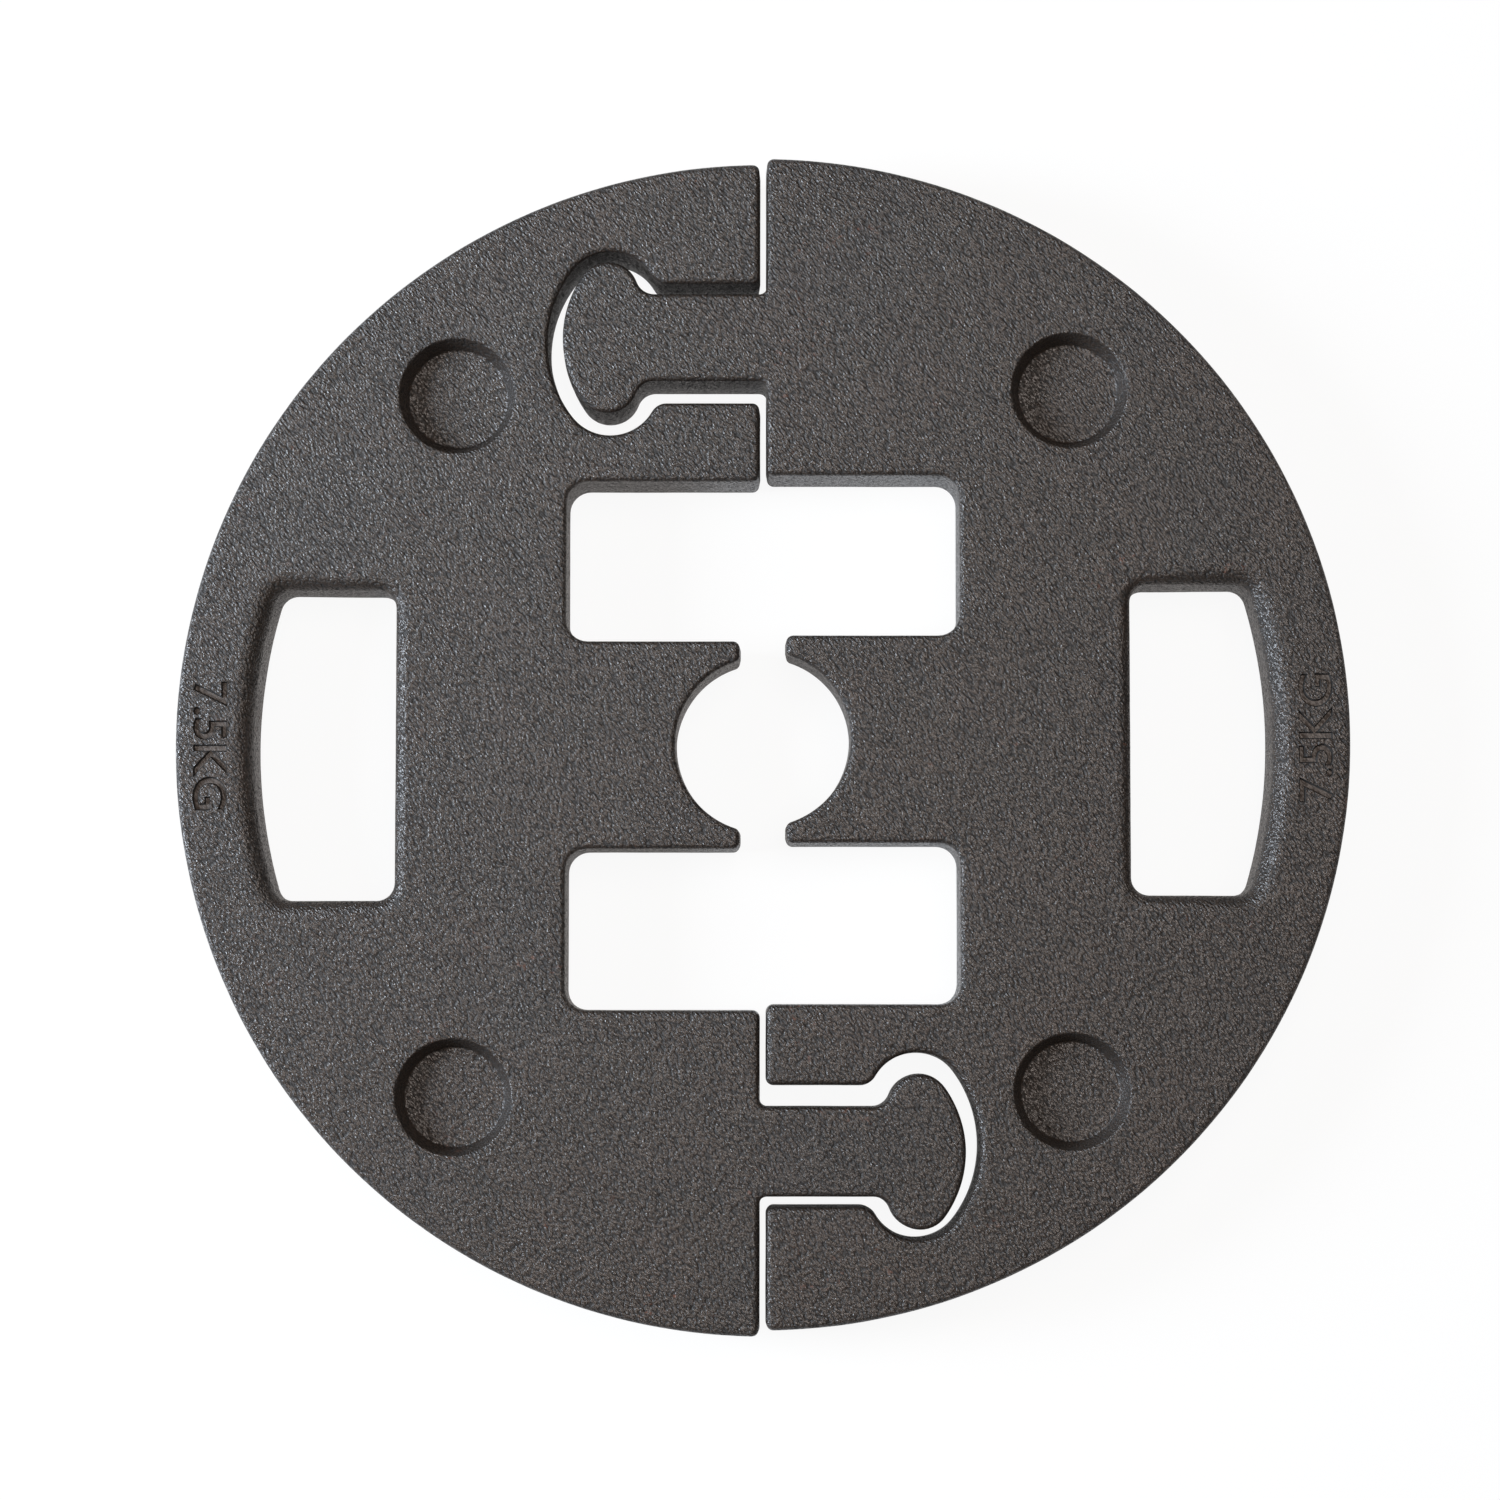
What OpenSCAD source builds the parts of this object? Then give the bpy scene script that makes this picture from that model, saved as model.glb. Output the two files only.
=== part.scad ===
// Two-part cast iron base weight for the leg of a pop-up shelter.
// Both halves are the same casting, one turned half a turn about the upright
// centre axis, and each has one jigsaw lug and one matching socket.

/* [Plate] */
// Diameter of the assembled plate
plate_d = 350; // [320:1:400]
// Thickness of each casting, without the studs underneath
plate_t = 28; // [22:0.5:40]
// Gap between the two straight seam edges
seam_gap = 1.6; // [1:0.1:4]
// How far the right half lies along the seam from the left half
seam_slip = 1.8; // [0:0.1:2.4]
// Rounding of the top and bottom edges
edge_r = 1.6; // [0.8:0.1:2]
// Rounding, in plan, of the corners on the seam
corner_r = 2.4; // [2.2:0.1:4]

/* [Foot openings] */
// Width of each rectangular opening, across the seam
opening_w = 116.5; // [100:0.5:124]
// Length over both openings, along the seam
openings_l = 157; // [145:1:165]
// Inside corner radius of the openings
opening_corner_r = 6; // [3:0.5:10]

/* [Leg hole] */
// Diameter of the centre hole that goes round the leg
hole_d = 51.5; // [40:0.5:54]
// Width of the tongues that carry the centre hole
tongue_w = 62.6; // [61:0.2:70]
// Gap between the tips of the facing tongues
tongue_gap = 13.2; // [8:0.2:20]
// Rounding, in plan, of the tongue tips
tip_r = 2.4; // [2.1:0.1:2.6]

/* [Hand slot] */
// Length of the slot, along the seam
slot_l = 92; // [80:1:110]
// Distance from the seam to the straight inner edge of the slot
slot_inner = 109.8; // [104:0.2:118]
// Width of the bar between the slot and the rim
grip_w = 23.5; // [22:0.5:32]
// Corner radius of the slot
slot_corner_r = 5; // [5:0.5:10]
// Rounding of the slot's top and bottom edges, for the fingers
slot_edge_r = 3.8; // [2:0.1:4.5]

/* [Jigsaw lug] */
// Distance of the lug's centre line from the middle of the plate
lug_offset = 120.5; // [118:0.5:124]
// Width of the lug's neck
neck_w = 27; // [22:0.5:32]
// Width of the lug's head
head_w = 46.3; // [42:0.1:50]
// Radius of the two rounded ends of the head
head_r = 9.5; // [9:0.5:12]
// Distance from the seam centre to the middle of the head's rounded ends
head_x = 46.5; // [42:0.5:50]
// Height of the crown of the head above those middles
head_crown = 13.9; // [13:0.1:16]
// Fillet between the neck and the head
neck_fillet_r = 5.3; // [3:0.1:6]
// Fillet between the neck and the seam edge
root_fillet_r = 2; // [1:0.1:3]

/* [Jigsaw socket] */
// Clearance beside the lug, on each side
side_clearance = 4.2; // [2.6:0.1:4.8]
// Clearance beyond the tip of the lug
tip_clearance = 3.8; // [1.5:0.1:4.5]
// Clearance behind the shoulders of the head
shoulder_clearance = 5.3; // [3:0.1:6]
// Radius of the two rounded ends of the socket
socket_r = 14; // [12:0.5:15]
// Rounding of the corners between the socket's neck and its head
socket_neck_r = 5.4; // [3:0.1:7]

/* [Stacking] */
// Distance from the seam to the stacking recesses
recess_x = 91.5; // [86:0.5:96]
// Distance from the middle of the plate to the recesses, along the seam
recess_y = 104.5; // [98:0.5:110]
// Diameter of each recess
recess_d = 32; // [26:0.5:36]
// Depth of each recess
recess_depth = 7.5; // [4.5:0.5:9]
// Rounding of the lip of a recess
recess_lip_r = 2.2; // [1:0.1:3]
// Fillet round the floor of a recess
recess_floor_r = 1.3; // [0.5:0.1:1.6]
// Clearance round a stud when one plate stands on another
stud_clearance = 0.3; // [0.2:0.05:0.6]
// Height of each stud under the plate
stud_h = 4; // [3:0.5:5]
// Rounding of the lower edge of a stud
stud_edge_r = 1.4; // [0.5:0.1:1.6]

/* [Hidden] */
$fa = 4;
$fs = 0.8;
// Most that a corner or fillet turns between two of its points
step_angle = 12;
// The same, for an arc that is larger than rim_from
rim_step = 4;
rim_from = 100;
// Steps in the rounding of an edge
edge_steps = 3;
overcut = 0.6;
// Share of an edge step by which a cutter runs past the wall and the face
overrun = 0.2;
// Rounding errors that count as touching, as a ratio and as a length
same_ratio = 1e-9;
same_place = 1e-6;
// Skin that the outline leaves in the leg hole for the round cut to take
hole_skin = 0.05;
plate_r = plate_d / 2;
seam_x = seam_gap / 2;
opening_x = opening_w / 2;
opening_y = openings_l / 2;
tongue_y = tongue_w / 2;
hole_r = hole_d / 2;
outline_hole_r = hole_r - hole_skin;
tip_x = tongue_gap / 2;
slot_y = slot_l / 2;
slot_outer_r = plate_r - grip_w;
recess_r = recess_d / 2;
stud_r = recess_r - stud_clearance;
top_z = stud_h + plate_t;
socket_neck_w = neck_w + 2 * side_clearance;
socket_w = head_w + 2 * side_clearance;
socket_x = head_x - head_r - shoulder_clearance + socket_r;
socket_crown = head_x + head_crown + tip_clearance - socket_x;

// An outline is a ring of discs, [x, y, r], joined by their common tangents with
// the metal on the left. A positive r rounds an outer corner and a negative r an
// inner corner. Discs that touch each other are joined without a straight.

// Other side of a right-angled triangle with hypotenuse d and side a
function side(d, a) = sqrt(d * d - a * a);

// Radius of the arc that crowns two discs of radius r, which lie b off the axis
function crown_r(a, b, r) = (a * a + b * b - r * r) / (2 * (a - r));

// A ratio, with the rounding error taken off where two discs touch
function snap(v) = abs(v) > 1 - same_ratio ? sign(v) : v;

// Direction of the tangent from disc a to disc b
function heading(a, b) =
    let (d = [b.x - a.x, b.y - a.y])
    atan2(d.y, d.x) + asin(snap((a[2] - b[2]) / norm(d)));

// Point of disc d where the outline runs in direction t, moved outwards
function at(d, t, out = 0) =
    [d.x + (d[2] + out) * sin(t), d.y - (d[2] + out) * cos(t)];

// An angle brought into one turn
function turn(a) = a - 360 * floor(a / 360);

// Points of an outline, each as [disc, direction]. An arc has an even number of
// steps, so that it reaches its own middle
function stations(discs) =
    let (n = len(discs))
    [for (i = [0 : n - 1])
        let (
            disc = discs[i],
            next = discs[(i + 1) % n],
            t0 = heading(discs[(i + n - 1) % n], disc),
            t1 = heading(disc, next),
            sweep = disc[2] > 0 ? turn(t1 - t0) : -turn(t0 - t1),
            step = abs(disc[2]) > rim_from ? rim_step : step_angle,
            steps = 2 * ceil(abs(sweep) / (2 * step)),
            touching = norm(at(next, t1) - at(disc, t1)) < same_place
        )
        for (k = [0 : touching ? steps - 1 : steps])
            [disc, t0 + sweep * k / steps]];

// Discs mirrored in the X axis, in the order that keeps the metal on the left
function mirrored(discs) =
    [for (i = [len(discs) - 1 : -1 : 0]) [discs[i].x, -discs[i].y, discs[i][2]]];

// Discs moved along the seam
function moved(discs, y) = [for (d = discs) [d.x, d.y + y, d[2]]];

// A neck and head that point along +X from an edge at edge_x. The head's rounded
// ends have radius r and lie at x. It is a lug if s is 1 and a socket if s is -1
function jigsaw(s, edge_x, edge_fillet, neck, fillet, head, r, x, crown) =
    let (
        b = head / 2 - r,
        fillet_y = neck / 2 + fillet,
        end_r = crown_r(crown, b, r),
        lower = [
            [edge_x + edge_fillet, -neck / 2 - edge_fillet, -s * edge_fillet],
            [x - side(r + fillet, fillet_y - b), -fillet_y, -s * fillet],
            [x, -b, s * r]
        ]
    )
    concat(lower, [[x + crown - end_r, 0, s * end_r]], mirrored(lower));

lug = jigsaw(1, -seam_x, root_fillet_r, neck_w, neck_fillet_r,
             head_w, head_r, head_x, head_crown);

socket = [for (d = jigsaw(-1, seam_x, corner_r, socket_neck_w, socket_neck_r,
                          socket_w, socket_r, socket_x, socket_crown))
    [-d.x, d.y, d[2]]];

rim_corner = [-seam_x - corner_r, -side(plate_r - corner_r, seam_x + corner_r), corner_r];

// Edge of the lower foot opening, up to the mouth of the leg hole
opening = [
    [-seam_x - corner_r, -opening_y - corner_r, corner_r],
    [-opening_x + opening_corner_r, -opening_y + opening_corner_r, -opening_corner_r],
    [-opening_x + opening_corner_r, -tongue_y - opening_corner_r, -opening_corner_r],
    [-tip_x - tip_r, -tongue_y + tip_r, tip_r],
    [-tip_x - tip_r, -side(outline_hole_r + tip_r, tip_x + tip_r), tip_r]
];

half_outline = concat(
    [rim_corner],
    moved(lug, -lug_offset),
    opening,
    [[0, 0, -outline_hole_r]],
    mirrored(opening),
    moved(socket, lug_offset),
    mirrored([rim_corner]),
    [[0, 0, plate_r]]
);

slot_corners = [
    [-slot_inner - slot_corner_r, -slot_y + slot_corner_r, -slot_corner_r],
    [-side(slot_outer_r - slot_corner_r, slot_y - slot_corner_r),
        -slot_y + slot_corner_r, -slot_corner_r]
];
slot_outline = concat(slot_corners, [[0, 0, -slot_outer_r]], mirrored(slot_corners));

module outline_2d(discs) {
    polygon([for (s = stations(discs)) at(s[0], s[1])]);
}

// Cross-section of what an edge loses to its rounding, as [out, up] from the
// sharp edge. It runs past the wall and the face, so that it cuts both cleanly
function edge_waste(r) =
    let (
        arc = [for (k = [0 : edge_steps])
            let (a = 90 * k / edge_steps)
            [r * (sin(a) - 1), r * (cos(a) - 1)]],
        past_face = arc[0] + (arc[0] - arc[1]) * overrun,
        past_wall = arc[edge_steps] + (arc[edge_steps] - arc[edge_steps - 1]) * overrun
    )
    concat(
        [past_face],
        [for (k = [1 : edge_steps - 1]) arc[k]],
        [past_wall, [overcut, overcut]]
    );

// Cutter that rounds the edge of an outline by r, all the way round
module edge_cutter(discs, r) {
    ring = stations(discs);
    waste = edge_waste(r);
    n = len(ring);
    m = len(waste);
    points = [for (s = ring, w = waste) [each at(s[0], s[1], w.x), w.y]];
    faces = [for (i = [0 : n - 1], j = [0 : m - 1])
        let (i2 = (i + 1) % n, j2 = (j + 1) % m)
        [i * m + j, i * m + j2, i2 * m + j2, i2 * m + j]];
    polyhedron(points, faces);
}

module both_faces() {
    translate([0, 0, top_z])
        children();
    translate([0, 0, stud_h])
        mirror([0, 0, 1])
            children();
}

// Round pocket with a fillet round its floor and a rounded lip at z = 0
module recess() {
    rotate_extrude() {
        difference() {
            translate([0, -recess_depth])
                square([recess_r, recess_depth + overcut]);
            corner_waste(recess_r, -recess_depth, recess_floor_r);
        }
        polygon([for (w = edge_waste(recess_lip_r)) [recess_r - w.x, w.y]]);
    }
}

// Leaves only the quarter disc when taken from an outer corner at x, z
module corner_waste(x, z, r) {
    translate([x, z])
        difference() {
            translate([-r, -overcut])
                square([r + overcut, r + overcut]);
            translate([-r, r])
                circle(r);
        }
}

module stud() {
    rotate_extrude()
        difference() {
            square([stud_r, stud_h + overcut]);
            corner_waste(stud_r, 0, stud_edge_r);
        }
}

// One casting, with its seam edge facing +X
module casting() {
    difference() {
        translate([0, 0, stud_h])
            linear_extrude(plate_t)
                difference() {
                    outline_2d(half_outline);
                    outline_2d(slot_outline);
                }
        both_faces() {
            edge_cutter(half_outline, edge_r);
            edge_cutter(slot_outline, slot_edge_r);
        }
        translate([0, 0, stud_h - overcut])
            cylinder(r = hole_r, h = plate_t + 2 * overcut);
        for (y = [-recess_y, recess_y])
            translate([-recess_x, y, top_z])
                recess();
    }
    for (y = [-recess_y, recess_y])
        translate([-recess_x, y, 0])
            stud();
}

module left_half() {
    color("#3b3b3d")
        translate([0, -seam_slip / 2, 0])
            casting();
}

module right_half() {
    color("#444447")
        translate([0, seam_slip / 2, 0])
            rotate([0, 0, 180])
                casting();
}

left_half();
right_half();
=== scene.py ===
"""Looks of the two-part leg weight: two cast halves with paint, and the studio round them."""

import math
from collections import namedtuple
from functools import cache
from types import SimpleNamespace

import bmesh
import bpy
from bmesh.types import BMEdge, BMFace, BMVert
from bpy.props import FloatProperty, FloatVectorProperty, PointerProperty, StringProperty
from bpy.types import Operator, Panel, PropertyGroup
from mathutils import Matrix, Vector, noise


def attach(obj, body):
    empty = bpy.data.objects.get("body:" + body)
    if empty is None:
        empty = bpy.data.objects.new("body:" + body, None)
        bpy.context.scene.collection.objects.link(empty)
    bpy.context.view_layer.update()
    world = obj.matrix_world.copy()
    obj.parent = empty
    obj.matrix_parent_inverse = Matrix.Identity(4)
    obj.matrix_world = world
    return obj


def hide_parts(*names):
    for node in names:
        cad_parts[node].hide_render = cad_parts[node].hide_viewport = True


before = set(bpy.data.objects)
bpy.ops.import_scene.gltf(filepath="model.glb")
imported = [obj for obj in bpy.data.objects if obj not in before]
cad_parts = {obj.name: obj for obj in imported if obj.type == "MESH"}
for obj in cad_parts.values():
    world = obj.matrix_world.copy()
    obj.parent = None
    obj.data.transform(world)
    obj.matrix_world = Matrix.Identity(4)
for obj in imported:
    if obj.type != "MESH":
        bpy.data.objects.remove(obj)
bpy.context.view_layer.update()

bl_info = {
    "name": "Tent leg weight",
    "version": (1, 0, 0),
    "blender": (4, 5, 0),
    "location": "3D View > Sidebar > Leg weight",
    "description": "Builds the painted castings of a two-part tent leg weight",
    "category": "Add Mesh",
}

MM = 0.001
UP = Vector((0, 0, 1))
HALF_TURN = Matrix.Rotation(math.pi, 4, "Z")


def length(name, description, mm):
    """A size that is shown in the scene's unit of length, with its default in millimetres."""
    return FloatProperty(name=name, description=description, default=mm * MM,
                         unit="LENGTH", precision=5)


def colour(name, description, value):
    """A colour without alpha."""
    return FloatVectorProperty(name=name, description=description, default=value,
                               subtype="COLOR", size=3, min=0, max=1)


class PlateSizes(PropertyGroup):
    """Sizes of the half plate, its openings and its hand slot"""
    plate_d: length("Plate", "Diameter of the assembled plate", 350)
    plate_t: length("Thickness", "Thickness of each casting without its studs", 28)
    seam_gap: length("Seam gap", "Gap between the two straight seam edges", 1.6)
    seam_slip: length("Seam slip", "How far one half lies along the seam from the other", 1.8)
    edge_r: length("Edge", "Rounding of the top and bottom edges", 1.6)
    corner_r: length("Corner", "Rounding of the corners on the seam", 2.4)
    draft: length("Draft", "How far the walls lean in from their parting line to a face", 0.3)
    opening_w: length("Opening width", "Width of a foot opening across the seam", 116.5)
    openings_l: length("Openings", "Length over both foot openings", 157)
    opening_corner_r: length("Opening corner", "Inside corner radius of the openings", 6)
    hole_d: length("Leg hole", "Diameter of the centre hole", 51.5)
    tongue_w: length("Tongues", "Width of the tongues round the centre hole", 62.6)
    tongue_gap: length("Tongue gap", "Gap between the tips of the facing tongues", 13.2)
    tip_r: length("Tongue tip", "Rounding of the tongue tips", 2.4)
    slot_l: length("Slot length", "Length of the hand slot", 92)
    slot_inner: length("Slot place", "From the seam to the inner edge of the hand slot", 109.8)
    grip_w: length("Grip", "Width of the bar between the hand slot and the rim", 23.5)
    slot_corner_r: length("Slot corner", "Corner radius of the hand slot", 5)
    slot_edge_r: length("Slot edge", "Rounding of the hand slot's edges", 3.8)
    grip_edge_r: length("Grip edge", "Rounding of the hand slot's edges along the grip", 6)


class JointSizes(PropertyGroup):
    """Sizes of the lug and its socket, and of the stacking recesses and studs"""
    lug_offset: length("Lug offset", "From the plate's middle to the lug's centre line", 120.5)
    neck_w: length("Neck", "Width of the lug's neck", 27)
    head_w: length("Head", "Width of the lug's head", 46.3)
    head_r: length("Head ends", "Radius of the head's rounded ends", 9.5)
    head_x: length("Head place", "From the seam to the middle of the head's ends", 46.5)
    head_crown: length("Crown", "Height of the head's crown above its ends", 13.9)
    neck_fillet_r: length("Neck fillet", "Fillet between the neck and the head", 5.3)
    root_fillet_r: length("Root fillet", "Fillet between the neck and the seam edge", 2)
    side_clearance: length("Side clearance", "Clearance beside the lug", 4.2)
    tip_clearance: length("Tip clearance", "Clearance beyond the lug's tip", 3.8)
    shoulder_clearance: length("Shoulder clearance", "Clearance behind the head", 5.3)
    socket_r: length("Socket ends", "Radius of the socket's rounded ends", 14)
    socket_neck_r: length("Socket neck", "Rounding between the socket's neck and head", 5.4)
    recess_x: length("Recess X", "From the seam to the stacking recesses", 91.5)
    recess_y: length("Recess Y", "From the plate's middle to the stacking recesses", 104.5)
    recess_d: length("Recess", "Diameter of each stacking recess", 32)
    recess_depth: length("Recess depth", "Depth of each stacking recess", 7.5)
    recess_lean: length("Recess lean", "How far a recess's wall leans in over its depth", 2.4)
    recess_lip_r: length("Recess lip", "Rounding of a recess's lip", 0.9)
    recess_floor_r: length("Recess floor", "Fillet round a recess's floor", 0.6)
    stud_clearance: length("Stud clearance", "Clearance round a stud in a recess", 0.3)
    stud_h: length("Stud height", "Height of each stud under the plate", 4)
    stud_edge_r: length("Stud edge", "Rounding of a stud's lower edge", 1.4)


class MarkSizes(PropertyGroup):
    """Sizes of the mass mark in the grip"""
    words_l: length("Mark length", "Length of the mark along the grip", 38.4)
    words_h: length("Mark height", "Height of the mark's letters", 10.4)
    words_x: length("Mark place", "From the seam to the middle of the mark", 164.3)
    words_y: length("Mark shift", "How far the mark lies from the grip's middle", -0.45)
    words_depth: length("Mark depth", "Depth of the letters", 1.4)
    words_slope: length("Mark slope", "How far the letters' walls lean in", 0.42)
    words_bold: length("Mark weight", "Outset of the letters' strokes", 0.3)


class Finish(PropertyGroup):
    """Wording of the mark, and the colours of the paint and the floor"""
    words: StringProperty(name="Mark", description="Mass of one half, in the grip",
                          default="7.5KG")
    paint: colour("Paint", "Charcoal paint", (0.034, 0.026, 0.021))
    paint_warm: colour("Warm paint", "Brownish patches of the paint", (0.043, 0.031, 0.024))
    paint_cool: colour("Cool paint", "Greyer patches of the paint", (0.031, 0.026, 0.023))
    paint_pit: colour("Mark paint", "Dull paint down in the mark's letters", (0.062, 0.046, 0.036))
    rust: colour("Rust", "Rust specks", (0.16, 0.062, 0.034))
    backdrop: colour("Backdrop", "Floor and surroundings", (0.90, 0.90, 0.90))


SAME_RATIO = 1e-9
Disc = namedtuple("Disc", "x y r")


def in_mm(group):
    """A group's lengths in millimetres, in which the castings are modelled."""
    return SimpleNamespace(**{key: getattr(group, key) / MM for key in group.__annotations__})


def side(d, a):
    """Other side of a right-angled triangle with hypotenuse d and side a."""
    return math.sqrt(d * d - a * a)


def crown_radius(a, b, r):
    """Radius of the arc that crowns two discs of radius r, which lie b off the axis."""
    return (a * a + b * b - r * r) / (2 * (a - r))


def heading(a, b):
    """Direction of the common tangent from disc a to disc b."""
    ratio = (a.r - b.r) / math.hypot(b.x - a.x, b.y - a.y)
    if abs(ratio) > 1 - SAME_RATIO:
        ratio = math.copysign(1, ratio)
    return math.atan2(b.y - a.y, b.x - a.x) + math.asin(ratio)


def outward(direction):
    """Unit vector that points out of the metal where the outline runs in that direction."""
    return Vector((math.sin(direction), -math.cos(direction), 0))


def mirrored(discs):
    """The discs mirrored in the X axis, in the order that keeps the metal on the left."""
    return [Disc(d.x, -d.y, d.r) for d in reversed(discs)]


def moved(discs, y):
    """The discs moved along the seam."""
    return [Disc(d.x, d.y + y, d.r) for d in discs]


def jigsaw(sign, edge_x, edge_fillet, neck, fillet, head, r, x, crown):
    """Discs of a neck and head that point along +X: a lug with sign 1, a socket with -1."""
    b = head / 2 - r
    fillet_y = neck / 2 + fillet
    end_r = crown_radius(crown, b, r)
    lower = [
        Disc(edge_x + edge_fillet, -neck / 2 - edge_fillet, -sign * edge_fillet),
        Disc(x - side(r + fillet, fillet_y - b), -fillet_y, -sign * fillet),
        Disc(x, -b, sign * r),
    ]
    return lower + [Disc(x + crown - end_r, 0, sign * end_r)] + mirrored(lower)


def half_outline(plate, joint):
    """Discs of one casting's outline, with its seam edge facing +X."""
    plate_r = plate.plate_d / 2
    seam_x = plate.seam_gap / 2
    corner = plate.corner_r
    socket_neck_w = joint.neck_w + 2 * joint.side_clearance
    socket_w = joint.head_w + 2 * joint.side_clearance
    socket_x = joint.head_x - joint.head_r - joint.shoulder_clearance + joint.socket_r
    socket_crown = joint.head_x + joint.head_crown + joint.tip_clearance - socket_x
    lug = jigsaw(1, -seam_x, joint.root_fillet_r, joint.neck_w, joint.neck_fillet_r,
                 joint.head_w, joint.head_r, joint.head_x, joint.head_crown)
    socket = [Disc(-d.x, d.y, d.r) for d in
              jigsaw(-1, seam_x, corner, socket_neck_w, joint.socket_neck_r,
                     socket_w, joint.socket_r, socket_x, socket_crown)]
    rim_corner = [Disc(-seam_x - corner, -side(plate_r - corner, seam_x + corner), corner)]
    inner_x = -plate.opening_w / 2 + plate.opening_corner_r
    tip_x = plate.tongue_gap / 2 + plate.tip_r
    hole_r = plate.hole_d / 2
    opening = [
        Disc(-seam_x - corner, -plate.openings_l / 2 - corner, corner),
        Disc(inner_x, -plate.openings_l / 2 + plate.opening_corner_r, -plate.opening_corner_r),
        Disc(inner_x, -plate.tongue_w / 2 - plate.opening_corner_r, -plate.opening_corner_r),
        Disc(-tip_x, -plate.tongue_w / 2 + plate.tip_r, plate.tip_r),
        Disc(-tip_x, -side(hole_r + plate.tip_r, tip_x), plate.tip_r),
    ]
    return (rim_corner + moved(lug, -joint.lug_offset) + opening + [Disc(0, 0, -hole_r)]
            + mirrored(opening) + moved(socket, joint.lug_offset) + mirrored(rim_corner)
            + [Disc(0, 0, plate_r)])


def slot_rounding(plate, x):
    """Rounding of the hand slot's edges at x: it grows from the inner side to the grip."""
    near = -plate.slot_inner
    far = plate.grip_w - plate.plate_d / 2
    share = min(1, max(0, (x - near) / (far - near)))
    smooth = share * share * (3 - 2 * share)
    return plate.slot_edge_r + (plate.grip_edge_r - plate.slot_edge_r) * smooth


def slot_outline(plate):
    """Discs of the hand slot: straight on the inner side, and round like the rim outside."""
    r = plate.slot_corner_r
    outer_r = plate.plate_d / 2 - plate.grip_w
    y = plate.slot_l / 2 - r
    corners = [Disc(-plate.slot_inner - r, -y, -r), Disc(-side(outer_r - r, y), -y, -r)]
    return corners + [Disc(0, 0, -outer_r)] + mirrored(corners)


POINT_GAP = 1.3
ARC_STEPS = 8
SAME_PLACE = 1e-3
NEAR_CIRCLE = 1e-2


def new_edges(bm, before):
    """Edges of bm that aren't in the set before."""
    return [e for e in bm.edges if e not in before]


def in_order(elements):
    """The elements without repeats, in the order in which they come."""
    return list(dict.fromkeys(elements))


def of_kind(geom, kind):
    """The vertices, the edges or the faces among mixed geometry."""
    return [g for g in geom if isinstance(g, kind)]


def draw_outline(bm, discs, z, edge_rounding):
    """Draws a closed outline at height z, and keeps each point's outward direction and
    its edge's rounding, which is edge_rounding(x)."""
    out = bm.verts.layers.float_vector["out"]
    edge_r = bm.verts.layers.float["edge_r"]
    before = set(bm.edges)
    ends = []
    for disc, last, following in zip(discs, discs[-1:] + discs[:-1], discs[1:] + discs[:1]):
        t0 = heading(last, disc)
        turn = (heading(disc, following) - t0) % math.tau
        sweep = turn if disc.r > 0 else turn - math.tau
        steps = max(ARC_STEPS, math.ceil(abs(sweep * disc.r) / POINT_GAP))
        centre = Vector((disc.x, disc.y, z))
        first = bm.verts.new(centre + outward(t0) * disc.r)
        made = bmesh.ops.spin(bm, geom=[first], cent=centre, axis=UP, angle=sweep,
                              steps=steps)["geom_last"]
        ends.append((first, of_kind(made, BMVert)[0]))
    for disc, (first, _) in zip(discs, ends):
        centre = Vector((disc.x, disc.y, z))
        vert = first
        edge = None
        while vert is not None:
            vert[out] = (vert.co - centre) / disc.r
            edge = next((e for e in vert.link_edges if e is not edge), None)
            vert = edge.other_vert(vert) if edge else None
    for (_, end), (first, _) in zip(ends, ends[1:] + ends[:1]):
        run = first.co - end.co
        if run.length > SAME_PLACE:
            steps = math.ceil(run.length / POINT_GAP)
            bmesh.ops.spin(bm, geom=[end], cent=end.co, axis=UP, angle=0,
                           dvec=run / steps, steps=steps)
    verts = in_order(v for e in new_edges(bm, before) for v in e.verts)
    for v in verts:
        v[edge_r] = edge_rounding(v.co.x)
    bmesh.ops.remove_doubles(bm, verts=verts, dist=SAME_PLACE)
    return new_edges(bm, before)


EDGE_STEPS = 8
WALL_STEPS = 6


def rounding(r):
    """Moves, as (out, up), that carry a ring from a face round an edge of radius r."""
    angles = [math.pi / 2 * k / EDGE_STEPS for k in range(EDGE_STEPS + 1)]
    points = [(r * (math.sin(a) - 1), r * (math.cos(a) - 1)) for a in angles]
    return [(b[0] - a[0], b[1] - a[1]) for a, b in zip(points, points[1:])]


@cache
def wall_moves(edge_r, height, draft):
    """Moves from the top face over the rounded edge and down the wall to the underside."""
    down = rounding(edge_r)
    lean = draft / WALL_STEPS
    drop = -(height / 2 - edge_r) / WALL_STEPS
    upper = [(lean, drop)] * WALL_STEPS
    lower = [(-lean, drop)] * WALL_STEPS
    back = [(-o, u) for o, u in reversed(down)]
    return down + upper + lower + back


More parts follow.
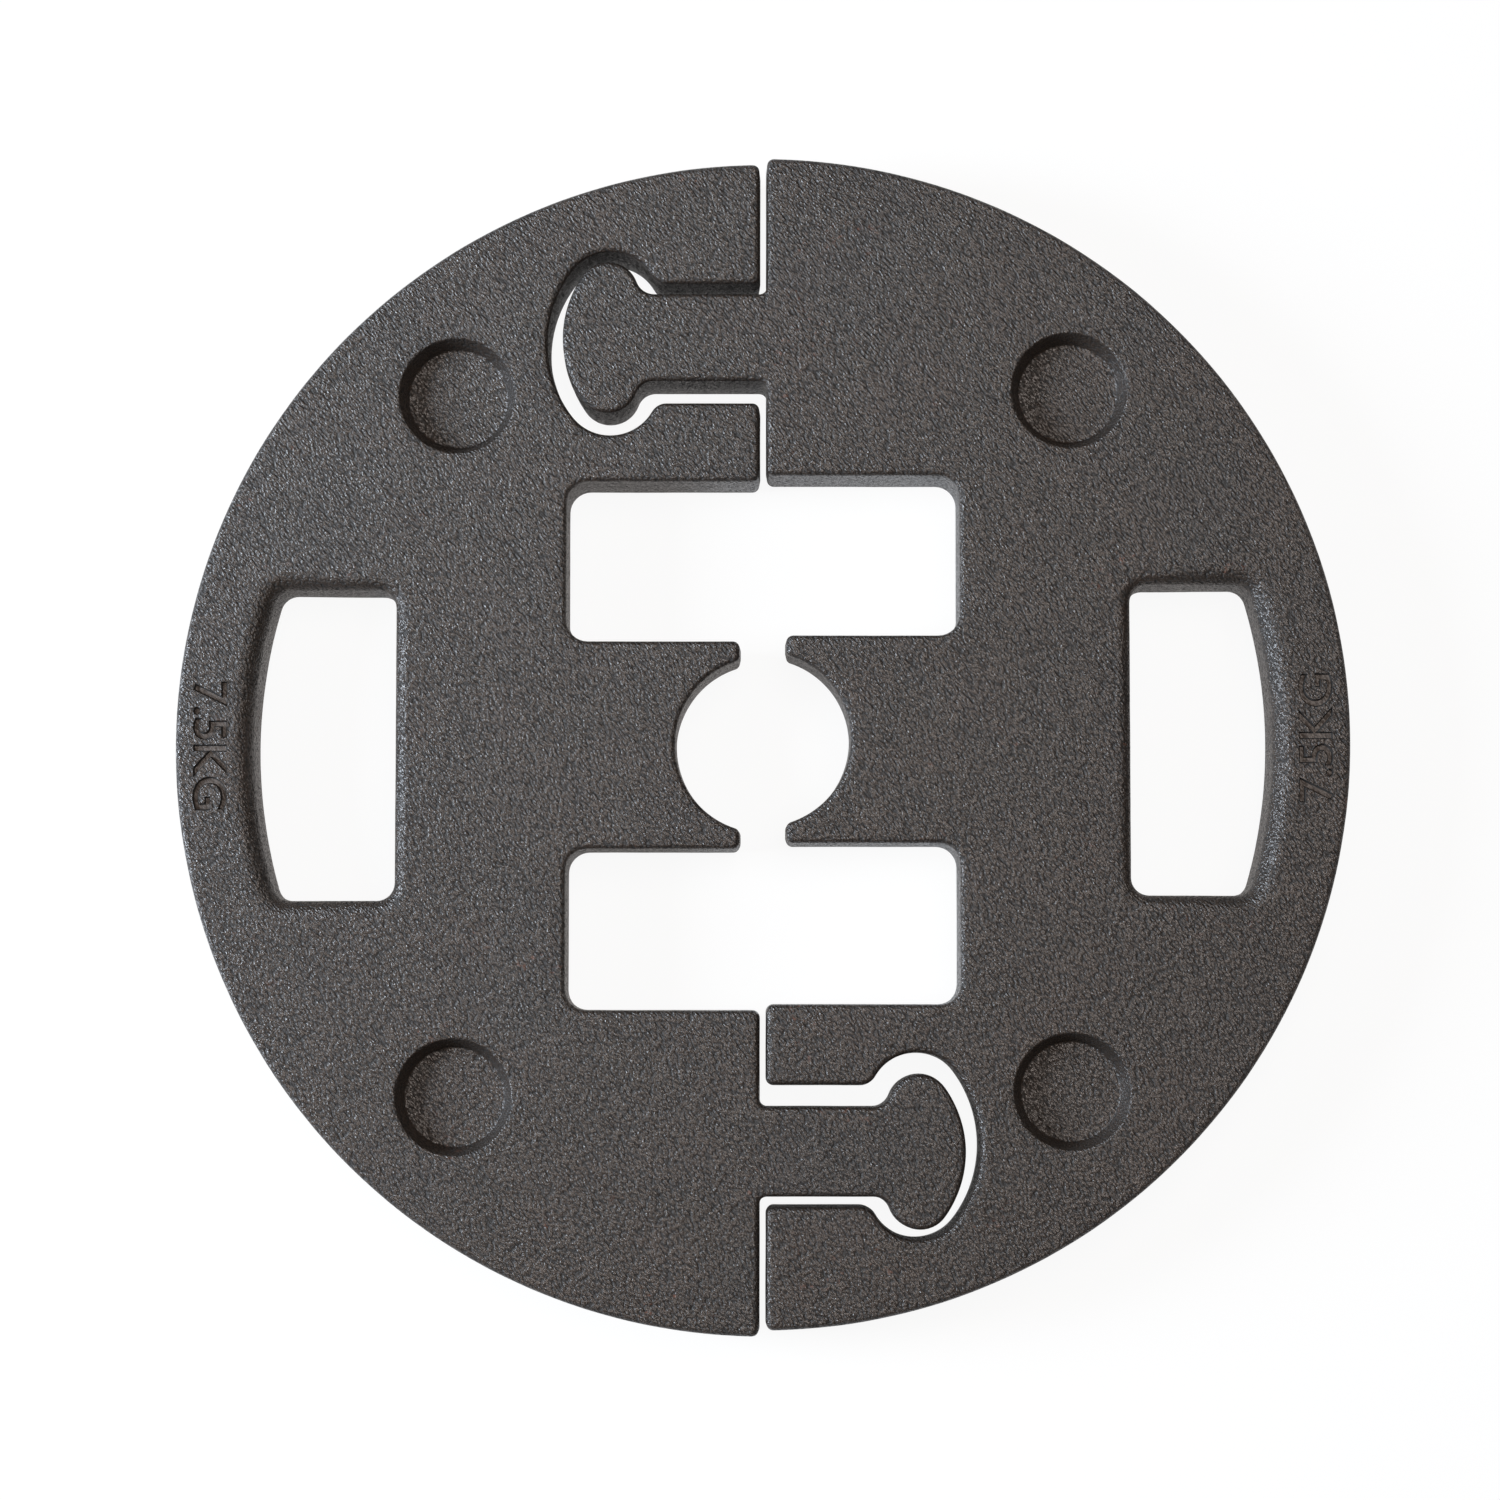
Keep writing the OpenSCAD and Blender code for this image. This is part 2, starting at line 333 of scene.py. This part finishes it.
def sweep_walls(bm, ring, height, draft):
    """Carries a drawn ring from the top face's end over the rounded edge and down the wall,
    and returns the edges where the top face and the underside end."""
    out = bm.verts.layers.float_vector["out"]
    edge_r = bm.verts.layers.float["edge_r"]
    for v in {v for e in ring for v in e.verts}:
        v.co -= v[out] * (v[edge_r] + draft)
    first = ring
    for step in range(2 * (EDGE_STEPS + WALL_STEPS)):
        made = bmesh.ops.extrude_edge_only(bm, edges=ring)["geom"]
        verts = set(of_kind(made, BMVert))
        ring = [e for e in of_kind(made, BMEdge) if verts.issuperset(e.verts)]
        for v in verts:
            step_out, step_up = wall_moves(v[edge_r], height, draft)[step]
            v.co += v[out] * step_out + UP * step_up
    return first, ring


ROUND_STEPS = 96


def turn_profile(bm, profile, x, y):
    """Turns a profile of (radius, height) points about an upright axis at x, y, and
    returns the edges of its first point's circle."""
    verts = [bm.verts.new((x + r, y, z)) for r, z in profile]
    edges = [bm.edges.new(pair) for pair in zip(verts, verts[1:])]
    before = set(bm.edges) - set(edges)
    r0, z0 = profile[0]
    bmesh.ops.spin(bm, geom=verts + edges, cent=(x, y, 0), axis=UP, angle=math.tau,
                   steps=ROUND_STEPS, use_merge=True)
    axis = Vector((x, y, 0))

    def on_rim(v):
        flat = Vector((v.co.x, v.co.y, 0))
        return abs(v.co.z - z0) < SAME_PLACE and abs((flat - axis).length - r0) < NEAR_CIRCLE

    return [e for e in new_edges(bm, before) if all(on_rim(v) for v in e.verts)]


def arc_points(centre, r, start, end, steps):
    """Points of an arc in the profile plane, from one angle in degrees to another."""
    angles = [math.radians(start + (end - start) * k / steps) for k in range(steps + 1)]
    return [(centre[0] + r * math.cos(a), centre[1] + r * math.sin(a)) for a in angles]


FLOOR_PITCH = 2
LIP_STEPS = 6
FILLET_STEPS = 5


def flat_points(r, z):
    """Points from radius r to the axis at height z."""
    steps = max(1, round(r / FLOOR_PITCH))
    return [(r * (1 - k / steps), z) for k in range(1, steps + 1)]


def recess_profile(joint, top_z):
    """Profile of a stacking recess, from its lip to the middle of its floor."""
    lip = joint.recess_lip_r
    fillet = joint.recess_floor_r
    half_depth = joint.recess_depth / 2
    slope = joint.recess_lean / joint.recess_depth
    tilt = math.atan(slope)
    reach = math.cos(tilt) + math.sin(tilt) * slope
    lip_x = joint.recess_d / 2 + (half_depth - lip) * slope + lip * reach
    fillet_x = joint.recess_d / 2 - (half_depth - fillet) * slope - fillet * reach
    floor_z = top_z - joint.recess_depth
    lean = math.degrees(tilt)
    return (arc_points((lip_x, top_z - lip), lip, 90, 180 - lean, LIP_STEPS)
            + arc_points((fillet_x, floor_z + fillet), fillet, -lean, -90, FILLET_STEPS)
            + flat_points(fillet_x, floor_z))


def stud_profile(joint):
    """Profile of a stud, from its root to the middle of its lower end."""
    r = joint.recess_d / 2 - joint.stud_clearance
    edge = joint.stud_edge_r
    return ([(r, joint.stud_h)] + arc_points((r - edge, edge), edge, 0, -90, LIP_STEPS)
            + flat_points(r - edge, 0))


def add_object(name, data):
    """Puts data into the scene as an object at the origin."""
    made = bpy.data.objects.new(name, data)
    bpy.context.scene.collection.objects.link(made)
    return made


CAP_HEIGHT = 0.73
LETTER_STEPS = 5


def letter_edges(bm, words, mark, top_z):
    """Outlines of the mass mark in the top face: it reads along the grip, heads inwards."""
    curve = bpy.data.curves.new("mark", "FONT")
    curve.body = words
    curve.align_x = "CENTER"
    curve.fill_mode = "FRONT"
    curve.resolution_u = LETTER_STEPS
    curve.offset = mark.words_bold / mark.words_h * CAP_HEIGHT
    holder = add_object("mark", curve)
    mesh = bpy.data.meshes.new_from_object(holder.evaluated_get(
        bpy.context.evaluated_depsgraph_get()))
    xs = [v.co.x for v in mesh.vertices]
    ys = [v.co.y for v in mesh.vertices]
    middle = Vector(((min(xs) + max(xs)) / 2, (min(ys) + max(ys)) / 2, 0))
    scale = Matrix.Diagonal((mark.words_l / (max(xs) - min(xs)),
                             mark.words_h / (max(ys) - min(ys)), 1, 1))
    place = Matrix.Translation((-mark.words_x, mark.words_y, top_z))
    mesh.transform(place @ Matrix.Rotation(-math.pi / 2, 4, "Z") @ scale
                   @ Matrix.Translation(-middle))
    filled = bmesh.new()
    filled.from_mesh(mesh)
    bmesh.ops.remove_doubles(filled, verts=filled.verts, dist=SAME_PLACE)
    inner = [e for e in filled.edges if not e.is_boundary]
    bmesh.ops.delete(filled, geom=inner, context="EDGES_FACES")
    filled.to_mesh(mesh)
    filled.free()
    before = set(bm.edges)
    bm.from_mesh(mesh)
    bpy.data.objects.remove(holder)
    bpy.data.curves.remove(curve)
    bpy.data.meshes.remove(mesh)
    return new_edges(bm, before)


def fill_face(bm, edges):
    """Fills the flat area between closed rings of edges, and returns its faces."""
    made = bmesh.ops.triangle_fill(bm, edges=edges, use_beauty=True, normal=UP)["geom"]
    return of_kind(made, BMFace)


def cut_grid(bm, faces, pitch):
    """Cuts flat faces by a square grid, so that they can follow the casting's waviness."""
    geom = in_order(g for f in faces for g in [*f.verts, *f.edges]) + faces
    xs = [v.co.x for f in faces for v in f.verts]
    ys = [v.co.y for f in faces for v in f.verts]
    for axis, low, high in ((0, min(xs), max(xs)), (1, min(ys), max(ys))):
        normal = Vector((1 - axis, axis, 0))
        for k in range(math.floor(low / pitch) + 1, math.ceil(high / pitch)):
            geom = bmesh.ops.bisect_plane(bm, geom=geom, dist=SAME_PLACE,
                                          plane_co=normal * k * pitch,
                                          plane_no=normal)["geom"]
    return of_kind(geom, BMFace)


TOP_PITCH = 5
UNDER_PITCH = 10
WAVE = 0.10
WAVE_LENGTH = 14
PEBBLE = 0.03
PEBBLE_LENGTH = 2.6
WAVE_SHIFT = (7.3, 3.1)


def seeded(seed, step):
    """Shift of a pattern, so that the two castings differ as real ones do."""
    return Vector((seed * step[0], seed * step[1], 0))


def unit_noise(place):
    """Smooth noise from 0 to 1."""
    return 0.5 + 0.5 * noise.noise(place)


def roughen(bm, seed):
    """Sinks the surface a little and unevenly, as sand casting leaves it."""
    bm.normal_update()
    shift = seeded(seed, WAVE_SHIFT)
    moves = []
    for v in bm.verts:
        wave = unit_noise(v.co / WAVE_LENGTH + shift)
        pebble = unit_noise(v.co / PEBBLE_LENGTH - shift)
        moves.append(v.normal * -(WAVE * wave + PEBBLE * pebble))
    for v, move in zip(bm.verts, moves):
        v.co += move


def casting(plate, joint, mark, words):
    """One casting as a bmesh, with its seam edge facing +X."""
    bm = bmesh.new()
    bm.verts.layers.float_vector.new("out")
    bm.verts.layers.float.new("edge_r")
    pit = bm.faces.layers.int.new("pit")
    rim = bm.faces.layers.int.new("rim")
    top_z = joint.stud_h + plate.plate_t
    recess = recess_profile(joint, top_z)
    stud = stud_profile(joint)
    top_edges = []
    under_edges = []
    for y in (-joint.recess_y, joint.recess_y):
        top_edges += turn_profile(bm, recess, -joint.recess_x, y)
        under_edges += turn_profile(bm, stud, -joint.recess_x, y)
    rings = [draw_outline(bm, half_outline(plate, joint), top_z, lambda x: plate.edge_r),
             draw_outline(bm, slot_outline(plate), top_z, lambda x: slot_rounding(plate, x))]
    for ring in rings:
        upper, lower = sweep_walls(bm, ring, plate.plate_t, plate.draft)
        top_edges += upper
        under_edges += lower
    letters = letter_edges(bm, words, mark, top_z)
    faces = fill_face(bm, top_edges + letters)
    for face in fill_face(bm, letters):
        face[pit] = 1
    cut_grid(bm, faces, TOP_PITCH)
    cut_grid(bm, fill_face(bm, under_edges), UNDER_PITCH)
    bmesh.ops.remove_doubles(bm, verts=bm.verts, dist=SAME_PLACE)
    bmesh.ops.recalc_face_normals(bm, faces=bm.faces)
    walls = bmesh.ops.inset_region(bm, faces=[f for f in bm.faces if f[pit]],
                                   thickness=mark.words_slope, depth=-mark.words_depth,
                                   use_even_offset=True)["faces"]
    # The letters' sloping walls are marked as rim faces, on which the paint lays painted shade.
    for face in walls:
        face[rim] = 1
    return bm


class Value:
    """A socket that can be used in a Python expression, each step of which adds a node."""

    def __init__(self, paint, socket):
        self.paint = paint
        self.socket = socket

    def _math(self, operation, a, b):
        """Adds a Math node for two values."""
        return self.paint.node("ShaderNodeMath", {"operation": operation}, {0: a, 1: b})

    def __add__(self, other):
        return self._math("ADD", self, other)

    def __radd__(self, other):
        return self._math("ADD", other, self)

    def __sub__(self, other):
        return self._math("SUBTRACT", self, other)

    def __rsub__(self, other):
        return self._math("SUBTRACT", other, self)

    def __mul__(self, other):
        return self._math("MULTIPLY", self, other)

    def __rmul__(self, other):
        return self._math("MULTIPLY", other, self)

    def within(self, low, high):
        """0 below low and 1 above high, with a smooth step between them."""
        settings = {"interpolation_type": "SMOOTHSTEP"}
        return self.paint.node("ShaderNodeMapRange", settings,
                               {"Value": self, "From Min": low, "From Max": high})


MIX_FACTOR = 0
MIX_FIRST = 6
MIX_SECOND = 7
MIX_RESULT = 2


class Paint:
    """The nodes of a material or of the surroundings."""

    def __init__(self, owner):
        owner.use_nodes = True
        self.owner = owner
        self.tree = owner.node_tree
        self.tree.nodes.clear()

    def node(self, kind, settings=None, inputs=None, output=0):
        """Adds a node with its settings and its sockets' values or links."""
        made = self.tree.nodes.new(kind)
        for key, value in (settings or {}).items():
            setattr(made, key, value)
        for key, value in (inputs or {}).items():
            if isinstance(value, Value):
                self.tree.links.new(value.socket, made.inputs[key])
            else:
                made.inputs[key].default_value = value
        return Value(self, made.outputs[output]) if made.outputs else made

    def blend(self, factor, a, b):
        """Mixes two colours."""
        inputs = {MIX_FACTOR: factor, MIX_FIRST: a, MIX_SECOND: b}
        return self.node("ShaderNodeMix", {"data_type": "RGBA"}, inputs, MIX_RESULT)

    def noise(self, place, scale, detail, roughness, distortion=0):
        """Cloudy noise with scale clouds to a unit of length."""
        return self.node("ShaderNodeTexNoise", {}, {
            "Vector": place, "Scale": scale, "Detail": detail, "Roughness": roughness,
            "Distortion": distortion})

    def patches(self, place, shape):
        """Soft-edged patches, which are 1 inside and 0 between them."""
        clouds = self.noise(place, shape.scale, shape.detail, shape.roughness,
                            shape.distortion)
        return clouds.within(shape.low, shape.high)

    def attribute(self, name):
        """A value that the mesh keeps for each face."""
        return self.node("ShaderNodeAttribute", {"attribute_name": name}, output="Fac")

    def finish(self, shader, output="ShaderNodeOutputMaterial"):
        """Sends the shader to the output, and returns what the nodes belong to."""
        self.node(output, {}, {"Surface": shader})
        return self.owner


def rgba(colour_value):
    """A colour with full alpha, as a socket wants it."""
    return (*colour_value, 1)


# Patches in the paint: clouds to a millimetre, and the levels between which they fade in.
Patches = namedtuple("Patches", "scale detail roughness distortion low high")
WARM_PATCHES = Patches(scale=0.035, detail=4, roughness=0.6, distortion=0, low=0.40, high=0.66)
COOL_PATCHES = Patches(scale=0.022, detail=3, roughness=0.55, distortion=0.4, low=0.48,
                       high=0.70)
RUSTY_AREAS = Patches(scale=0.05, detail=2, roughness=0.5, distortion=0, low=0.60, high=0.74)
RUST_SPECKS = Patches(scale=0.55, detail=3, roughness=0.6, distortion=0, low=0.60, high=0.72)

# The peel is drawn out along a diagonal of the plate.
GRAIN_TURN = math.radians(-49)
GRAIN_STRETCH = (2.1, 1.0, 1.2)
GRAIN_DEPTH = 0.54 * MM
PEBBLE_SCALE = 1.55
PEBBLE_HEIGHT = 0.6
PEEL_SCALE = 1.75
PEEL_DETAIL = 2
PEEL_ROUGHNESS = 0.65
PEEL_HEIGHT = 0.7
CREVICE_BOTTOM = 0.60
CREVICE_TOP = 0.88

# How much of each tint shows, and how strong the painted shade is in the crevices and on the
# letters' walls.
TINT_AND_SHADE = SimpleNamespace(warm=0.7, cool=0.6, pit=0.75, crevice=0.85, less_in_pit=0.65,
                       rim=0.9, rust=0.6)
# Painted shade: the paint's own colour darkened to this share.
PAINTED_SHADE_SHARE = 0.15

# Roughness of the plain paint, and what each feature adds to it.
ROUGH = SimpleNamespace(paint=0.24, warm=0.04, crevice=0.40, pit=0.2, rim=0.3, rust=0.25)
PIT_SMOOTHNESS = 0.5
PAINT_IOR = 1.6
PAINT_SHIFT = (31.0, 15.5)


def casting_paint(name, finish, seed):
    """Charcoal paint over sand-cast iron: fine diagonal peel, faint patches, rust specks, and
    painted shade in the peel's crevices and on the letters' walls.
    """
    paint = Paint(bpy.data.materials.new(name))
    place = paint.node("ShaderNodeTexCoord", output="Object")
    mm = paint.node("ShaderNodeMapping", {}, {
        "Vector": place, "Location": seeded(seed, PAINT_SHIFT), "Scale": (1 / MM,) * 3})
    grain = paint.node("ShaderNodeMapping", {"vector_type": "TEXTURE"}, {
        "Vector": mm, "Rotation": (0, 0, GRAIN_TURN), "Scale": GRAIN_STRETCH})
    warm = paint.patches(mm, WARM_PATCHES)
    cool = paint.patches(mm, COOL_PATCHES)
    pebble = paint.node("ShaderNodeTexVoronoi", {}, {"Vector": grain, "Scale": PEBBLE_SCALE})
    peel = paint.noise(grain, PEEL_SCALE, PEEL_DETAIL, PEEL_ROUGHNESS)
    height = (1 - pebble * pebble) * PEBBLE_HEIGHT + peel * PEEL_HEIGHT
    crevice = 1 - height.within(CREVICE_BOTTOM, CREVICE_TOP)
    rust = paint.patches(mm, RUST_SPECKS) * paint.patches(mm, RUSTY_AREAS)
    pit = paint.attribute("pit")
    rim = paint.attribute("rim")
    # Painted shade, laid into the crevices of the peel and on the letters' walls.
    painted_shade = rgba([c * PAINTED_SHADE_SHARE for c in finish.paint])
    base = paint.blend(warm * TINT_AND_SHADE.warm, rgba(finish.paint), rgba(finish.paint_warm))
    base = paint.blend(cool * TINT_AND_SHADE.cool, base, rgba(finish.paint_cool))
    base = paint.blend(pit * TINT_AND_SHADE.pit, base, rgba(finish.paint_pit))
    # Painted shade where the peel is low, with less of it in the letters.
    base = paint.blend(crevice * (TINT_AND_SHADE.crevice - TINT_AND_SHADE.less_in_pit * pit), base, painted_shade)
    # Painted shade on the letters' walls.
    base = paint.blend(rim * TINT_AND_SHADE.rim, base, painted_shade)
    base = paint.blend(rust * TINT_AND_SHADE.rust, base, rgba(finish.rust))
    bump = paint.node("ShaderNodeBump", {}, {
        "Strength": 1, "Distance": GRAIN_DEPTH, "Height": height * (1 - PIT_SMOOTHNESS * pit)})
    rough = (ROUGH.paint + warm * ROUGH.warm + crevice * ROUGH.crevice + pit * ROUGH.pit
             + rim * ROUGH.rim + rust * ROUGH.rust)
    shader = paint.node("ShaderNodeBsdfPrincipled", {}, {
        "Base Color": base, "Roughness": rough, "Normal": bump, "IOR": PAINT_IOR})
    return paint.finish(shader)


SHARP_ANGLE = math.radians(38)


def painted_mesh(name, bm, material):
    """Turns a bmesh into a mesh with its material."""
    mesh = bpy.data.meshes.new(name)
    bm.to_mesh(mesh)
    bm.free()
    mesh.materials.append(material)
    return mesh


def make_piece(name, bm, material):
    """Turns a bmesh into a painted, smoothly shaded object at the origin."""
    mesh = painted_mesh(name, bm, material)
    mesh.shade_smooth()
    mesh.set_sharp_from_angle(angle=SHARP_ANGLE)
    return add_object(name, mesh)


LEFT_SEED = 0
RIGHT_SEED = 5


class WEIGHT_OT_castings(Operator):
    """Casts both halves and paints them"""
    bl_idname = "weight.castings"
    bl_label = "Cast both halves"

    def execute(self, context):
        """Casts one half, and lays it and its like on either side of the seam."""
        scene = context.scene
        plate = in_mm(scene.weight_plate)
        finish = scene.weight_finish
        first = casting(plate, in_mm(scene.weight_joint), in_mm(scene.weight_mark),
                        finish.words)
        slip = Matrix.Translation((0, plate.seam_slip / 2, 0))
        halves = (("left", slip.inverted(), LEFT_SEED), ("right", slip @ HALF_TURN, RIGHT_SEED))
        for hand, move, seed in halves:
            bm = first.copy()
            bmesh.ops.transform(bm, matrix=move, verts=bm.verts)
            roughen(bm, seed)
            bmesh.ops.scale(bm, vec=(MM, MM, MM), verts=bm.verts)
            material = casting_paint(f"{hand}_paint", finish, seed)
            piece = make_piece(f"{hand}_casting", bm, material)
            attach(piece, f"{hand}_half")
            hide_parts(f"{hand}_half")
        first.free()
        return {"FINISHED"}


CAMERA_PLACE = Vector((-0.00119, -0.08915, 1.26268))
CAMERA_TILT = (0.070307, 0.002087, 0.000868)
FOCAL_SHARE = 2.7692
SENSOR_MM = 36
FLOOR_SIZE = 12
ROOM_LIGHT = 0.05
CAMERA_FILL = 0.92
GLOSS_FILL = 0.30
WHITE = (1, 1, 1, 1)

Lamp = namedtuple("Lamp", "name place width height power tint")
LAMPS = (
    Lamp("window", place=(-1.50, 0.02, 0.86), width=0.50, height=0.90, power=56,
         tint=(0.78, 0.88, 1.0)),
    Lamp("overhead", place=(0.20, 0.16, 1.60), width=0.9, height=0.9, power=15,
         tint=(1.0, 0.90, 0.84)),
)


def stage_paint(finish):
    """Pale floor that the camera and the gloss see as nearly white, with soft shadows."""
    paint = Paint(bpy.data.materials.new("pale_floor"))
    matt = paint.node("ShaderNodeBsdfDiffuse", {}, {"Color": rgba(finish.backdrop)})
    glow = paint.node("ShaderNodeEmission", {}, {"Color": WHITE, "Strength": 1})
    camera = paint.node("ShaderNodeLightPath", output="Is Camera Ray")
    gloss = paint.node("ShaderNodeLightPath", output="Is Glossy Ray")
    return paint.finish(paint.node("ShaderNodeMixShader", {}, {
        0: camera * CAMERA_FILL + gloss * GLOSS_FILL, 1: matt, 2: glow}))


def white_world():
    """Surroundings that are white to the camera, and dimmer as light on the object."""
    paint = Paint(bpy.data.worlds.new("studio"))
    camera = paint.node("ShaderNodeLightPath", output="Is Camera Ray")
    level = paint.node("ShaderNodeMath", {"operation": "MAXIMUM"}, {0: camera, 1: ROOM_LIGHT})
    light = paint.node("ShaderNodeBackground", {}, {"Color": WHITE, "Strength": level})
    return paint.finish(light, "ShaderNodeOutputWorld")


def hang_lamp(lamp):
    """Hangs a soft area lamp that faces the middle of the floor."""
    light = bpy.data.lights.new(lamp.name, "AREA")
    light.shape = "RECTANGLE"
    light.size = lamp.width
    light.size_y = lamp.height
    light.energy = lamp.power
    light.color = lamp.tint
    holder = add_object(lamp.name, light)
    holder.location = lamp.place
    holder.visible_camera = False
    holder.rotation_euler = (-Vector(lamp.place)).to_track_quat("-Z", "Y").to_euler()


class WEIGHT_OT_stage(Operator):
    """Sets up the floor, the soft lamps and the camera"""
    bl_idname = "weight.stage"
    bl_label = "Set up the studio"

    def execute(self, context):
        """Lays the floor, hangs the lamps and places the camera above the plate."""
        scene = context.scene
        bm = bmesh.new()
        bmesh.ops.create_grid(bm, x_segments=1, y_segments=1, size=FLOOR_SIZE / 2)
        floor = add_object("floor", painted_mesh("floor", bm, stage_paint(scene.weight_finish)))
        scene.world = white_world()
        for lamp in LAMPS:
            hang_lamp(lamp)
        lens = bpy.data.cameras.new("camera")
        lens.sensor_width = SENSOR_MM
        lens.lens = SENSOR_MM * FOCAL_SHARE
        camera = add_object("camera", lens)
        camera.location = CAMERA_PLACE
        camera.rotation_euler = CAMERA_TILT
        scene.camera = camera
        scene.view_settings.view_transform = "Standard"
        return {"FINISHED"}


class WEIGHT_PT_sidebar(Panel):
    """Sizes and finishes of the leg weight"""
    bl_idname = "WEIGHT_PT_sidebar"
    bl_label = "Leg weight"
    bl_space_type = "VIEW_3D"
    bl_region_type = "UI"
    bl_category = "Leg weight"

    def draw(self, context):
        """Lists every size and colour, and then the operators."""
        layout = self.layout
        for group in GROUPS:
            settings = getattr(context.scene, group)
            box = layout.box()
            for key in settings.__annotations__:
                box.prop(settings, key)
        for operator in (WEIGHT_OT_castings, WEIGHT_OT_stage):
            layout.operator(operator.bl_idname)


GROUPS = {
    "weight_plate": PlateSizes,
    "weight_joint": JointSizes,
    "weight_mark": MarkSizes,
    "weight_finish": Finish,
}
CLASSES = (*GROUPS.values(), WEIGHT_OT_castings, WEIGHT_OT_stage, WEIGHT_PT_sidebar)


def register():
    """Adds the classes, and their groups to the scene."""
    for cls in CLASSES:
        bpy.utils.register_class(cls)
    for name, group in GROUPS.items():
        setattr(bpy.types.Scene, name, PointerProperty(type=group))


def unregister():
    """Takes the groups and the classes away again."""
    for name in GROUPS:
        delattr(bpy.types.Scene, name)
    for cls in reversed(CLASSES):
        bpy.utils.unregister_class(cls)


def main():
    """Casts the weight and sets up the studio."""
    register()
    bpy.ops.weight.castings()
    bpy.ops.weight.stage()


if __name__ == "__main__":
    main()
